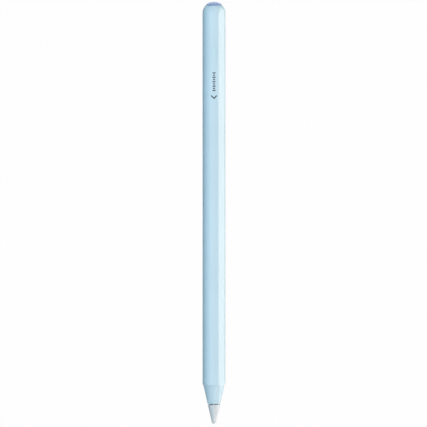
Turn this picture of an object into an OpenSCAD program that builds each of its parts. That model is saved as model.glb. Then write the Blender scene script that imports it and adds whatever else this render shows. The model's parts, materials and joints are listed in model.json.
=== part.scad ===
// Tablet stylus pen with a screw-on nib, a push button in its end and a magnetic dock face.
// Every module is drawn about the pen's own axis with the nib's point at z = 0, the dock face
// towards +X and the button at the top. placed() then moves it so that the origin lies in the
// middle of the dock face. Lengths are in millimetres.

/* [Pen] */
// Length from the nib's point to the top of the button
pen_l = 166; // [164:0.5:170]
// Diameter of the barrel
barrel_d = 8.9; // [8.8:0.05:9.4]
// Depth of the flat dock face below the round surface
flat_depth = 0.39; // [0.25:0.01:0.42]
// Radius that blends the dock face into the round surface
flat_blend_r = 1.2; // [0.6:0.1:1.6]
// Half angle of the nib and nose cone
taper_angle = 12.7; // [12.4:0.1:13]
// Distance from the nib's point to the lower end of the barrel
shoulder_z = 15.8; // [15.7:0.05:16]
// Height of the bevel that joins the nose to the barrel
bevel_h = 0.65; // [0.4:0.05:0.8]
// Radius of the rounded upper end
top_round_r = 4.2; // [3.9:0.1:4.3]

/* [Nib] */
// Radius of the nib's point
tip_r = 0.86; // [0.7:0.02:0.9]
// Length of the nib
nib_l = 7.85; // [7.8:0.05:8]
// Gap between nib and nose, which shows as a dark seam
nib_gap = 0.35; // [0.3:0.05:0.4]
// Pitch of the nib's thread
thread_pitch = 0.4; // [0.3:0.05:0.45]

/* [Button] */
// Radius of the button's domed face
button_r = 2.92; // [2.8:0.02:2.96]
// Height of the dome above the button's edge
button_dome_h = 0.9; // [0.8:0.05:1]
// Height of the button's edge above the barrel's rim
button_edge_h = 0.25; // [0.15:0.05:0.3]
// Gap round the button
button_gap = 0.1; // [0.08:0.01:0.14]

/* [Status window] */
// Length of the window along the pen
window_l = 4; // [3:0.1:4.4]
// Width of the window round the barrel
window_w = 2.3; // [1.8:0.1:2.4]
// Distance from the top of the pen to the window's centre
window_from_top = 19.5; // [19:0.1:20]
// Angle from the dock face round to the window
window_angle = -47; // [-55:1:-40]

/* [Inside] */
// Bore of the barrel
bore_d = 7.4; // [7.38:0.01:7.5]
// Diameter of the battery cell
cell_d = 6; // [5.6:0.1:6]
// Number of dock magnets on each side of the charging coil
magnets_a_side = 2; // [1:1:3]

/* [Hidden] */

$fn = 64;
eps = 0.01;            // how far a cut runs past the face that it opens
fit = 0.02;            // gap drawn between pieces that are pressed or glued together
running = 0.05;        // radial clearance of a shaft in its bush
spring_steps = 16;     // rings of a spring's tube in one turn
wire_sides = 8;

// Outside
body_r = barrel_d / 2;
flat_x = body_r - flat_depth;
bore_r = bore_d / 2;
taper = tan(taper_angle);
cone_r0 = tip_r * (1 / cos(taper_angle) - taper);
nose_z = nib_l + nib_gap;
edge = 0.14;           // chamfer on the nib's, the nose's and the button's edges
part_line = 0.03;      // step from the barrel down to the nose's bevel
spigot_end_z = shoulder_z + 4.7;
spigot_r = bore_r - 0.03;
spigot_bore_r = 2.9;

// The dock face's blend arcs: centre of the arc, and where it meets the round surface
blend_x = flat_x - flat_blend_r;
blend_y = sqrt(pow(body_r - flat_blend_r, 2) - pow(blend_x, 2));

// Upper end
rim_z = pen_l - button_dome_h - button_edge_h;
round_x = body_r - top_round_r;
round_z = rim_z - sqrt(pow(top_round_r, 2) - pow(button_r - round_x, 2));
button_hole_r = button_r + button_gap;
lip_z = rim_z - 1.85;             // underside of the lip that holds the button in
dome_r = (pow(button_r, 2) + pow(button_dome_h, 2)) / (2 * button_dome_h);

// Nib, shaft and pressure sensor
insert_z = 4.6;
insert_r = 1.15;
insert_top_z = 6.9;
nib_turns = 5;                    // turns that hold the nib
stud_r = 0.7;
stud_z = insert_top_z - nib_turns * thread_pitch;
nib_recess_r = 1.6;
shaft_r = 1.2;
shaft_z = 7.3;                    // shoulder that the nib screws up to
nose_bore_r = 1.5;
bushing_z = 10.5;
bushing_r = 2;
flange_z = 14.5;
flange_r = 2.6;
bush_flange_h = 0.5;
collar_z = flange_z + 0.6;
collar_h = 0.8;
collar_r = 2.1;
rear_r = 0.9;
rear_z = 24;
spring_r = 1.6;                   // mean radius of both springs
spring_gap = 0.05;                // gap at each end of a spring
holder_z = spigot_end_z + 0.1;
holder_wall = 0.8;
holder_end_z = 28;
holder_r = bore_r - 0.05;
sensor_pad_z = rear_z + 0.03;
sensor_pad_h = 0.6;
sensor_z = rear_z + sensor_pad_h + 0.1;
sensor_h = 1;
sensor_side = 3.6;
plate_h = 0.8;
electrode_z = collar_z + 0.1;
electrode_end_z = holder_z - 1.6;
electrode_r = spigot_bore_r - 0.03;
lead_y = 2.62;
lead_slot_y = lead_y - 0.15;      // edge of the slot that the electrode's lead runs through

// Boards, tray and battery. A board's top face looks towards the dock face
board_x = -1;
board_h = 0.6;
board_top = board_x + board_h;
board_half = 2.9;
board_z = 30;
chassis_r = bore_r - 0.12;
dock_z = pen_l / 2;               // middle of the dock face, of its magnets and of its coil
tray_half = 19;
board_end_z = dock_z + tray_half + 2;
cell_z = board_end_z + 2.5;
window_z = pen_l - window_from_top;
cell_end_z = window_z - 7;
cell_r = cell_d / 2;
sleeve_r = cell_r + 0.12;
cradle_r = sleeve_r + 0.08;
pad_h = 0.6;
disc_r = cell_r - 0.1;            // the protection board and the foam pads
guard_z = board_end_z + 1;        // the battery's protection board
top_board_z = cell_end_z + 2.6;
switch_board_z = lip_z - 7;
switch_z = switch_board_z + board_h;
switch_h = 1.2;
plunger_r = 0.7;
plunger_top_z = switch_z + switch_h + 0.6;
guide_z = lip_z - 3.6;
guide_h = 0.9;
post_r = 0.92;
seal_h = 0.35;
flange_top_z = lip_z - seal_h - 0.05;
flange_h = 0.6;
button_flange_r = bore_r - 0.3;
flex_h = 0.1;
flex_half = 1.1;
flex_x = sleeve_r + 0.16;         // the flex runs here, between battery and barrel
connector_h = 0.9;
flex_seat_x = board_top + connector_h + flex_h / 2 + 0.01;     // where a flex lies on a connector
screw_zs = [board_z + 4.6, board_z + 32.6, board_end_z - 5];
screw_hole_r = 0.5;

// Dock magnets and charging coil, which lie in a row behind the dock face
magnet_row_l = 11.4;
magnet_gap = 0.2;
magnet_l = magnet_row_l / magnets_a_side - magnet_gap;
magnet_start = 7;                 // distance from the middle to the first magnet
magnet_x = 1.3;
magnet_end_x = 3;
magnet_half = 1.5;
coil_l = 11.6;
coil_x = 1.95;
coil_end_x = 2.85;
coil_lead_y = 0.6;
coil_lead_z = 6.4;                // distance from the middle to the leads

// ---------- shared shapes ----------

module placed() translate([-flat_x, 0, -dock_z]) children();

module disc(r, z0, z1) translate([0, 0, z0]) cylinder(r = r, h = z1 - z0);

module ring(r_out, r_in, z0, z1) {
    difference() {
        disc(r_out, z0, z1);
        disc(r_in, z0 - eps, z1 + eps);
    }
}

// Box from one corner to the opposite one
module block(low, high) translate(low) cube(high - low);

// Block with its middle at y = 0
module strip(x0, x1, half_y, z0, z1) block([x0, -half_y, z0], [x1, half_y, z1]);

// Slot-shaped prism, long along z, that runs from x0 to x1
module slot(x0, x1, width, length) {
    reach = (length - width) / 2;
    for (side = [-1, 1])
        translate([x0, 0, side * reach]) rotate([0, 90, 0]) cylinder(d = width, h = x1 - x0);
    strip(x0, x1, width / 2, -reach, reach);
}

// Ribbon of constant thickness through the points of a path in the XZ plane, mitred at its corners
function unit(v) = v / norm(v);
function left(v) = [-v[1], v[0]];
function mitre(points, i) =
    let (last = len(points) - 1,
         before = left(unit(points[max(i, 1)] - points[max(i, 1) - 1])),
         after = left(unit(points[min(i, last - 1) + 1] - points[min(i, last - 1)])),
         middle = unit(before + after))
    middle / (middle * before);

module ribbon(points, half_y) {
    last = len(points) - 1;
    rotate([90, 0, 0])
        linear_extrude(height = 2 * half_y, center = true)
            polygon([
                for (i = [0 : last]) points[i] + mitre(points, i) * flex_h / 2,
                for (i = [last : -1 : 0]) points[i] - mitre(points, i) * flex_h / 2
            ]);
}

// Height of a spring's wire after u turns: its end turns are closed, and the rest share the height
function spring_rise(u, wire_r, height, turns) =
    let (closed = 2.3 * wire_r)
    u < 1 ? u * closed :
    u > turns - 1 ? height - (turns - u) * closed :
    closed + (u - 1) * (height - 2 * closed) / (turns - 2);
function spring_ring(mean_r, wire_r, z0, z1, turns, u) =
    let (z = z0 + wire_r + spring_rise(u, wire_r, z1 - z0 - 2 * wire_r, turns))
    [for (k = [0 : wire_sides - 1])
        let (b = 360 * (k + 0.5) / wire_sides, r = mean_r + wire_r * cos(b))
        [r * cos(360 * u), r * sin(360 * u), z + wire_r * sin(b)]];

module coil_spring(mean_r, wire_r, z0, z1, turns) {
    rings = turns * spring_steps;
    points = [for (i = [0 : rings])
        each spring_ring(mean_r, wire_r, z0, z1, turns, i / spring_steps)];
    sides = [for (i = [0 : rings - 1], k = [0 : wire_sides - 1])
        let (a = i * wire_sides, n = (k + 1) % wire_sides)
        [a + k, a + n, a + n + wire_sides, a + k + wire_sides]];
    first = [for (k = [0 : wire_sides - 1]) wire_sides - 1 - k];
    last = [for (k = [0 : wire_sides - 1]) rings * wire_sides + k];
    polyhedron(points = points, faces = concat(sides, [first, last]));
}

// Round section of the barrel with its flat and the two arcs that blend it in
module barrel_section() {
    far = 1.4;         // stretches the cut past the round surface
    difference() {
        circle(r = body_r);
        translate([flat_x, -body_r]) square(2 * body_r);
        for (side = [-1, 1])
            difference() {
                polygon([
                    [blend_x, side * blend_y],
                    [flat_x + 1, side * blend_y],
                    [blend_x, side * blend_y] * far
                ]);
                translate([blend_x, side * blend_y]) circle(r = flat_blend_r);
            }
    }
}

module barrel_prism(z0, z1)
    translate([0, 0, z0]) linear_extrude(height = z1 - z0) barrel_section();

// ---------- nib and pressure sensor ----------

module nib() {
    base_r = cone_r0 + taper * nib_l;
    point_z = tip_r * (1 - sin(taper_angle));
    pocket_z = insert_z - 0.2;
    color("#e9edf0") difference() {
        union() {
            rotate_extrude() polygon([
                [0, point_z],
                [cone_r0 + taper * point_z, point_z],
                [base_r - taper * edge, nib_l - edge],
                [base_r - edge, nib_l],
                [0, nib_l]
            ]);
            translate([0, 0, tip_r]) intersection() {
                sphere(r = tip_r);
                disc(tip_r, -tip_r, point_z - tip_r);
            }
        }
        disc(insert_r + fit, pocket_z, nib_l + eps);
        disc(nib_recess_r, insert_top_z, nib_l + eps);
    }
}

module nib_insert() {
    groove_z = (insert_z + insert_top_z) / 2;
    groove_half = 0.2;
    groove_r = insert_r - 0.15;
    color("#c9a24b") difference() {
        disc(insert_r, insert_z, insert_top_z);
        disc(stud_r + running, insert_z - eps, insert_top_z + eps);
        ring(insert_r + eps, groove_r, groove_z - groove_half, groove_z + groove_half);
    }
}

module nib_seal() {
    mean_r = (stud_r + shaft_r) / 2;
    cord_r = 0.165;
    color("#30343a") translate([0, 0, (insert_top_z + shaft_z) / 2])
        rotate_extrude() translate([mean_r, 0]) circle(r = cord_r, $fn = 32);
}

module tip_shaft() {
    color("#b9bec4") {
        disc(stud_r, stud_z, shaft_z);
        disc(shaft_r, shaft_z, collar_z);
        disc(collar_r, collar_z, collar_z + collar_h);
        disc(rear_r, collar_z + collar_h, rear_z);
    }
}

module nib_spring() {
    wire_r = 0.17;
    color("#a9afb6")
        coil_spring(spring_r, wire_r, collar_z + collar_h + spring_gap, holder_z - spring_gap, 6);
}

module nose_cone() {
    front_r = cone_r0 + taper * nose_z;
    color("#b9d8ea") difference() {
        intersection() {
            union() {
                rotate_extrude() polygon([
                    [0, nose_z],
                    [front_r - edge, nose_z],
                    [front_r + taper * edge, nose_z + edge],
                    [cone_r0 + taper * (shoulder_z - bevel_h), shoulder_z - bevel_h],
                    [body_r - part_line, shoulder_z],
                    [0, shoulder_z]
                ]);
                disc(spigot_r, shoulder_z - eps, spigot_end_z);
            }
            barrel_prism(nose_z - eps, spigot_end_z + eps);
        }
        disc(nose_bore_r, nose_z - eps, bushing_z + eps);
        disc(bushing_r + fit, bushing_z, flange_z + eps);
        disc(spigot_bore_r, flange_z, spigot_end_z + eps);
    }
}

module shaft_bushing() {
    color("#d8b56a") difference() {
        union() {
            disc(bushing_r, bushing_z, flange_z);
            disc(flange_r, flange_z, flange_z + bush_flange_h);
        }
        disc(shaft_r + running, bushing_z - eps, flange_z + bush_flange_h + eps);
    }
}

module tilt_electrode() {
    wall = 0.25;
    color("#c98a4b") ring(electrode_r, electrode_r - wall, electrode_z, electrode_end_z);
}

module electrode_lead() {
    middle_x = (board_x + board_top) / 2 + 0.3;
    half = 0.5;
    thickness = 0.12;
    color("#c77f3d") block([middle_x - half, lead_y, electrode_end_z],
                           [middle_x + half, lead_y + thickness, board_z]);
}

module sensor_holder() {
    slot_half = 1.1;
    color("#3b4046") difference() {
        disc(holder_r, holder_z, holder_end_z);
        disc(rear_r + 0.1, holder_z - eps, holder_z + holder_wall + eps);
        disc(spigot_bore_r, holder_z + holder_wall, holder_end_z + eps);
        block([-slot_half, lead_slot_y, holder_z - eps], [slot_half, spigot_bore_r, holder_end_z]);
    }
}

module sensor_pad() color("#d9d4cc") disc(1, sensor_pad_z, sensor_pad_z + sensor_pad_h);

// A square body whose round membrane stands in a shallow ring-shaped dip
module force_sensor() {
    half = sensor_side / 2;
    dip_r = 1.3;
    dip_h = 0.15;
    membrane_r = 1.1;
    color("#5b6068") {
        difference() {
            strip(-half, half, half, sensor_z, sensor_z + sensor_h);
            disc(dip_r, sensor_z - eps, sensor_z + dip_h);
        }
        disc(membrane_r, sensor_z, sensor_z + 2 * dip_h);
    }
}

// Round plate behind the sensor, cut away for the flex and for the electrode's lead
module sensor_plate() {
    z0 = sensor_z + sensor_h;
    z1 = z0 + plate_h;
    plate_r = spigot_bore_r - 0.04;
    flex_cut_x = 1.5;
    flex_cut_half = flex_half + 0.2;
    color("#8c9299") difference() {
        disc(plate_r, z0, z1);
        strip(flex_cut_x, plate_r + 1, flex_cut_half, z0 - eps, z1 + eps);
        block([-plate_r, lead_slot_y, z0 - eps], [plate_r, plate_r + 1, z1 + eps]);
    }
}

module sensor_flex() {
    x_out = sensor_side / 2 + 0.2;
    color("#c9772b") ribbon([
        [x_out - 0.1, sensor_z + 0.4],
        [x_out, sensor_z + sensor_h + 0.4],
        [x_out, holder_end_z],
        [flex_seat_x, board_z + 0.3],
        [flex_seat_x, board_z + 2.6]
    ], flex_half);
}

// ---------- outer shell ----------

module barrel() {
    color("#bcdcee") difference() {
        intersection() {
            union() {
                disc(body_r, shoulder_z, round_z);
                rotate_extrude() {
                    translate([round_x, round_z]) intersection() {
                        circle(r = top_round_r);
                        square(top_round_r);
                    }
                    translate([0, round_z]) square([round_x, top_round_r]);
                }
            }
            barrel_prism(shoulder_z - eps, pen_l);
        }
        disc(bore_r, shoulder_z - eps, lip_z);
        disc(button_hole_r, lip_z - eps, pen_l);
        at_window() slot(bore_r - 1, body_r + 1, window_w, window_l);
    }
}

module at_window() rotate([0, 0, window_angle]) translate([0, 0, window_z]) children();

module status_window() {
    gap = 0.03;
    color("#d5e9f4") intersection() {
        ring(body_r, bore_r + fit, window_z - window_l, window_z + window_l);
        at_window() slot(bore_r - 1, body_r + 1, window_w - 2 * gap, window_l - 2 * gap);
    }
}

// Clear block that leads the light from the LED out to the window
module light_pipe() {
    inner_x = 1.25;
    half_w = 0.8;
    half_l = 0.9;
    color("#eef6fb") intersection() {
        disc(bore_r - 0.05, window_z - 2 * half_l, window_z + 2 * half_l);
        at_window() strip(inner_x, bore_r, half_w, -half_l, half_l);
    }
}

// ---------- chassis and boards ----------

// Part of a cylinder on the far side of the plane x = x_cut from the dock face
module back_segment(r, x_cut, z0, z1) {
    intersection() {
        disc(r, z0, z1);
        strip(-r - 1, x_cut, r + 1, z0, z1);
    }
}

// Spine along the back of the barrel: a seat for the boards, a cradle for the cell, ribs between pockets
module chassis() {
    start_z = holder_end_z + 0.2;
    cradle_x = -0.6;
    pocket_x = board_x - 0.7;
    pocket_half = 2;
    pocket_step = 12;
    rib = 1.6;
    color("#4a5058") difference() {
        union() {
            back_segment(chassis_r, board_x, start_z, switch_board_z);
            back_segment(chassis_r, cradle_x, guard_z - 0.6, top_board_z - 0.6);
        }
        disc(cradle_r, guard_z - 0.4, top_board_z - 1);
        for (z = [start_z + 1.2 : pocket_step : board_end_z - pocket_step])
            strip(-chassis_r - 1, pocket_x, pocket_half, z, z + pocket_step - rib);
        strip(-chassis_r - 1, pocket_x, pocket_half, top_board_z + 1, switch_board_z - 1);
        screw_holes(pocket_x - eps);
    }
}

module screw_holes(x)
    for (z = screw_zs) translate([x, 0, z]) rotate([0, 90, 0]) cylinder(r = screw_hole_r, h = 3);

module main_board() {
    color("#1f5a46") difference() {
        strip(board_x, board_top, board_half, board_z, board_end_z);
        screw_holes(board_x - 1);
    }
}

// Screws that reach through the board into the chassis, with a cross in their heads
module board_screws() {
    grip = 0.6;        // length of thread in the chassis
    head_r = 0.85;
    head_h = 0.4;
    slot_l = 1;
    slot_w = 0.2;
    color("#c4c8cc")
        for (z = screw_zs) translate([board_x - grip, 0, z]) rotate([0, 90, 0]) {
            cylinder(r = screw_hole_r - 0.04, h = board_h + grip);
            translate([0, 0, board_h + grip]) difference() {
                cylinder(r = head_r, h = head_h);
                for (turn = [0, 90]) rotate(turn)
                    translate([-slot_l / 2, -slot_w / 2, head_h / 2]) cube([slot_l, slot_w, head_h]);
            }
        }
}

// A chip's body on the main board, from z0 upwards
module chip(width, length, height, z0)
    strip(board_top, board_top + height, width / 2, z0, z0 + length);

module processor_chip() {
    side = 4;
    height = 0.8;
    z0 = board_z + 6;
    dot_in = 0.5;      // distance of the round mark from the chip's edges
    color("#23262a") difference() {
        chip(side, side, height, z0);
        translate([board_top + height - 0.05, dot_in - side / 2, z0 + dot_in])
            rotate([0, 90, 0]) cylinder(r = 0.2, h = 1);
    }
}

module radio_chip() color("#23262a") chip(3.2, 3.2, 0.7, board_z + 16);

module shield_can() {
    wall = 0.15;
    half = 2;
    z0 = board_z + 13;
    length = 9;
    height = 1.2;
    vents = 4;
    vent_pitch = 2;
    color("#c2c6ca") difference() {
        chip(2 * half, length, height, z0);
        strip(board_top - eps, board_top + height - wall, half - wall, z0 + wall, z0 + length - wall);
        for (i = [0 : vents - 1]) translate([board_top + 1, 0, z0 + (i + 0.75) * vent_pitch])
            rotate([0, 90, 0]) cylinder(r = 0.3, h = 1);
    }
}

module charge_chip() color("#23262a") chip(3, 3, 0.75, board_z + 24);

module motion_sensor() color("#3a3e44") chip(2.5, 3, 0.85, board_z + 28.3);

module crystals() {
    color("#d3d6d9") {
        chip(2.4, 1.6, 0.5, board_z + 10.7);
        chip(1.6, 1.4, 0.45, board_z + 20);
    }
}

// Rows of capacitors and resistors along both long edges of the main board, and a few on the top one
module small_components() {
    size = [0.35, 0.5, 1];
    pitch = 1.7;
    start_z = board_z + 5;
    end_z = board_end_z - 20;
    row_y = board_half - 0.6;
    color("#a8845c") {
        for (side = [-1, 1], i = [0 : floor((end_z - start_z) / pitch) - 1])
            if (i % 5 != 3)
                translate([board_top, side * row_y - size[1] / 2, start_z + i * pitch]) cube(size);
        for (i = [0 : 3])
            translate([board_top, 1.2, top_board_z + 6 + 1.5 * i]) cube(size);
    }
}

module flex_connectors() {
    color("#2c2f33") {
        chip(3.4, 2.4, connector_h, board_z + 0.4);
        chip(3, 1.8, connector_h, board_end_z - 2);
        chip(3, 1.8, connector_h, top_board_z + 0.4);
    }
}

// ---------- dock magnets and charging coil ----------

// Middle of a magnet, counted outwards on one side of the coil
function magnet_z(side, i) = dock_z + side * (magnet_start + magnet_l / 2 + i * (magnet_l + magnet_gap));

// The room of each magnet in the row, grown by some play at its ends
module magnet_room(x0, x1, half, play)
    for (side = [-1, 1], i = [0 : magnets_a_side - 1])
        strip(x0, x1, half, magnet_z(side, i) - magnet_l / 2 - play, magnet_z(side, i) + magnet_l / 2 + play);

module magnet_tray() {
    base_x = 0.9;
    floor_x = magnet_x - 0.05;
    top_x = 3.1;
    wall_y = magnet_half + 0.06;
    coil_room = magnet_start - 0.1;
    lead_hole_r = 0.25;
    color("#3b4046") difference() {
        intersection() {
            disc(bore_r - 0.15, dock_z - tray_half, dock_z + tray_half);
            strip(base_x, top_x, 2.6, dock_z - tray_half, dock_z + tray_half);
        }
        strip(floor_x, top_x + 1, wall_y, dock_z - coil_room, dock_z + coil_room);
        magnet_room(floor_x, top_x + 1, magnet_half + 0.04, 0.05);
        for (side = [-1, 1])
            translate([base_x - 1, side * coil_lead_y, dock_z + coil_lead_z]) rotate([0, 90, 0])
                cylinder(r = lead_hole_r, h = 2);
    }
}

module dock_magnets() color("#9aa0a6") magnet_room(magnet_x, magnet_end_x, magnet_half, 0);

// A plate under the coil and a core that fills the coil's middle
module ferrite_core() {
    plate_half_l = 5.9;
    color("#2f3135") translate([0, 0, dock_z]) {
        strip(magnet_x, coil_x - fit, magnet_half, -plate_half_l, plate_half_l);
        slot(coil_x - fit - eps, coil_end_x + 0.05, 1.1, 9.6);
    }
}

module charge_coil() {
    opening_w = 1.2;
    winding_w = 0.9;
    color("#c4703a") translate([0, 0, dock_z]) difference() {
        slot(coil_x, coil_end_x, opening_w + 2 * winding_w, coil_l);
        slot(coil_x - eps, coil_end_x + 1, opening_w, coil_l - 2 * winding_w);
    }
}

// Two wires that leave the coil's end and bend down to the main board
module coil_leads() {
    wire_r = 0.15;
    x_in = coil_x + 0.4;
    color("#b5652f") for (side = [-1, 1]) translate([0, side * coil_lead_y, dock_z]) {
        translate([board_top, 0, coil_lead_z]) rotate([0, 90, 0])
            cylinder(r = wire_r, h = x_in - board_top);
        translate([x_in, 0, coil_lead_z]) sphere(r = wire_r);
        translate([x_in, 0, coil_l / 2]) cylinder(r = wire_r, h = coil_lead_z - coil_l / 2);
    }
}

// ---------- battery ----------

module battery_cell() {
    lid_h = 0.3;
    lid_r = cell_r - 0.4;
    color("#b8bcc0") {
        disc(cell_r, cell_z + lid_h, cell_end_z);
        disc(lid_r, cell_z, cell_z + lid_h);
    }
}

module battery_sleeve() color("#3f7fb5") ring(sleeve_r, cell_r + fit, cell_z + 0.5, cell_end_z - 0.2);

// Foam discs at both ends of the cell; the one by the tabs is a ring
module battery_pads() {
    hole_r = 1.6;
    color("#6b6f74") {
        disc(disc_r, cell_end_z, cell_end_z + pad_h);
        ring(disc_r, hole_r, guard_z + board_h, guard_z + board_h + 0.5);
    }
}

module protection_board() color("#1f5a46") disc(disc_r, guard_z, guard_z + board_h);

module battery_tabs() {
    tab_y = 0.9;
    half_w = 0.3;
    half_h = 0.4;
    color("#c9ccd0")
        for (side = [-1, 1])
            block([-half_h, side * tab_y - half_w, guard_z + board_h],
                  [half_h, side * tab_y + half_w, cell_z]);
}

module battery_leads() {
    wire_r = 0.25;
    start_z = board_end_z - 2;
    color("#b3312c")
        for (y = [-2.2, 2.2])
            translate([board_top + wire_r, y, start_z]) cylinder(r = wire_r, h = guard_z - start_z);
}

module main_flex() {
    color("#c9772b") ribbon([
        [flex_seat_x, board_end_z - 1.6],
        [flex_seat_x, board_end_z - 0.5],
        [flex_x, guard_z - 0.15],
        [flex_x, cell_end_z + pad_h],
        [flex_seat_x, top_board_z + 0.6],
        [flex_seat_x, top_board_z + 2]
    ], flex_half);
}

// ---------- upper end ----------

module top_board()
    color("#1f5a46") strip(board_x, board_top, 2.7, top_board_z, switch_board_z - 0.6);

module status_led() {
    side = 1;
    height = 0.52;
    y0 = -1.8;
    color("#f2f4ee")
        block([board_top, y0, window_z - side / 2], [board_top + height, y0 + side, window_z + side / 2]);
}

module antenna() color("#e4e0d4") chip(2, 3.2, 0.9, window_z + 3);

module board_pins() {
    pin_r = 0.2;
    pin_l = 2.4;
    color("#c9a24b")
        for (y = [-1.5 : 1 : 1.5])
            translate([board_top + pin_r, y, switch_board_z - pin_l]) cylinder(r = pin_r, h = pin_l);
}

module switch_board() color("#1f5a46") disc(bore_r - 0.1, switch_board_z, switch_z);

// Square body with four solder feet and a well for the plunger
module tact_switch() {
    half_x = 1.6;
    half_y = 1.5;
    foot = [0.7, 0.5, 0.2];
    floor_h = 0.3;
    color("#2c2f33") difference() {
        union() {
            strip(-half_x, half_x, half_y, switch_z, switch_z + switch_h);
            for (x = [-1, 1], y = [-1, 1])
                translate([x * (half_x + 0.3), y, switch_z + foot[2] / 2]) cube(foot, center = true);
        }
        disc(plunger_r + 0.08, switch_z + floor_h, switch_z + switch_h + eps);
    }
}

module switch_plunger()
    color("#e8e8e4") disc(plunger_r, switch_z + 0.75, plunger_top_z);

// Ring that guides the button's post, on a tube that stands on the switch's board
module button_guide() {
    guide_r = bore_r - 0.08;
    post_hole_r = post_r + 0.08;
    tube_bore_r = 3.15;
    color("#4a5058") {
        ring(guide_r, post_hole_r, guide_z, guide_z + guide_h);
        ring(guide_r, tube_bore_r, switch_z, guide_z + eps);
    }
}

module button_spring() {
    wire_r = 0.15;
    color("#a9afb6")
        coil_spring(spring_r, wire_r, guide_z + guide_h + spring_gap,
                    flange_top_z - flange_h - spring_gap, 4);
}

module button_seal()
    color("#dfe5e8") ring(bore_r - 0.1, button_hole_r + 0.05, lip_z - seal_h, lip_z - fit);

module button_cap() {
    edge_z = rim_z + button_edge_h;
    color("#a9c4e6") {
        disc(post_r, plunger_top_z, flange_top_z);
        rotate_extrude() polygon([
            [0, flange_top_z - flange_h],
            [button_flange_r, flange_top_z - flange_h],
            [button_flange_r, flange_top_z],
            [button_r, flange_top_z],
            [button_r, edge_z - edge / 2],
            [button_r - edge / 2, edge_z],
            [0, edge_z]
        ]);
        intersection() {
            translate([0, 0, pen_l - dome_r]) sphere(r = dome_r, $fn = 128);
            disc(button_r - edge / 2, flange_top_z, pen_l + eps);
        }
    }
}

placed() nib();
placed() nib_insert();
placed() nib_seal();
placed() tip_shaft();
placed() nib_spring();
placed() nose_cone();
placed() shaft_bushing();
placed() tilt_electrode();
placed() electrode_lead();
placed() sensor_holder();
placed() sensor_pad();
placed() force_sensor();
placed() sensor_plate();
placed() sensor_flex();
placed() barrel();
placed() status_window();
placed() light_pipe();
placed() chassis();
placed() main_board();
placed() board_screws();
placed() processor_chip();
placed() radio_chip();
placed() shield_can();
placed() charge_chip();
placed() motion_sensor();
placed() crystals();
placed() small_components();
placed() flex_connectors();
placed() magnet_tray();
placed() dock_magnets();
placed() ferrite_core();
placed() charge_coil();
placed() coil_leads();
placed() battery_cell();
placed() battery_sleeve();
placed() battery_pads();
placed() protection_board();
placed() battery_tabs();
placed() battery_leads();
placed() main_flex();
placed() top_board();
placed() status_led();
placed() antenna();
placed() board_pins();
placed() switch_board();
placed() tact_switch();
placed() switch_plunger();
placed() button_guide();
placed() button_spring();
placed() button_seal();
placed() button_cap();
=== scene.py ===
"""Looks of the tablet stylus pen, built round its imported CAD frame.

Shapes are drawn in millimetres about the pen's own axis, with the nib's point at z = 0 and the flat
dock face towards +X; `placed` turns them into metres in the shared frame.
"""

import json
import math

import bpy
import numpy as np
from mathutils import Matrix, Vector


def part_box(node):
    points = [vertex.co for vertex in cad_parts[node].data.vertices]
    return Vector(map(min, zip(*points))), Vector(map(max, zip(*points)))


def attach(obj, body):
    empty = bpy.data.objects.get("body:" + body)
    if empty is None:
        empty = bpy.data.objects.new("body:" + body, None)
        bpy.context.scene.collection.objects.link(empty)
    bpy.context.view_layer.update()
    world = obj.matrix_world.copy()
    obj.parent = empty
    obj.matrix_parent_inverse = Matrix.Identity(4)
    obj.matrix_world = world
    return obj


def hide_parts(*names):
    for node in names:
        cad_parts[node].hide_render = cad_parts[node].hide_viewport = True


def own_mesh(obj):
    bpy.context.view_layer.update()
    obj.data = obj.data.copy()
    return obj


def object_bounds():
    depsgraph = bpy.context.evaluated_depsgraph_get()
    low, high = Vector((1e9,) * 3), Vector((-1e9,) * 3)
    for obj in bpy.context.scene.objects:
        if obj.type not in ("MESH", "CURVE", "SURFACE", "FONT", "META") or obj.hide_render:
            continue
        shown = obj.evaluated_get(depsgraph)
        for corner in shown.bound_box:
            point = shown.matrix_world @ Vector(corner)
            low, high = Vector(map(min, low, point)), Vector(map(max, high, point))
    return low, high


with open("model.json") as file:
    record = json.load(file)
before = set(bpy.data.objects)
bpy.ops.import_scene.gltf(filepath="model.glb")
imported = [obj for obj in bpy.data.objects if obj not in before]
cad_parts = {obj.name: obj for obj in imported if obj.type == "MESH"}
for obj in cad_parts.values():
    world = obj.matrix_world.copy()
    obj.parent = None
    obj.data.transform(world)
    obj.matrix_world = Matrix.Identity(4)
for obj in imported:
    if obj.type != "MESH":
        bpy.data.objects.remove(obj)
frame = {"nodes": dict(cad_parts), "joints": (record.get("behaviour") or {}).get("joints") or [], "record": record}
cad_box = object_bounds()

# ---------- sizes ----------

MM = 0.001
_shaft, _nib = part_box("tip_shaft"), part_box("nib")
ORIGIN = np.array([(_shaft[0].x + _shaft[1].x) / 2, 0, _nib[0].z]) / MM


def span(node):
    """A node's lowest and highest corner, in the pen's own millimetres."""
    return [np.array(corner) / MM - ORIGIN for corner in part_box(node)]


def heights(node):
    """A node's lowest and highest z, in the pen's own millimetres."""
    return [corner[2] for corner in span(node)]


# from the frame's boxes
FLAT_X, BODY_R, RIM_Z = span("barrel")[1]
SHOULDER_Z = heights("barrel")[0]
NOSE_Z, SPIGOT_END_Z = heights("nose_cone")
NIB_L = heights("nib")[1]
TOP_Z = heights("button_cap")[1]
WINDOW_LOW_Z, WINDOW_HIGH_Z = heights("status_window")

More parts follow.
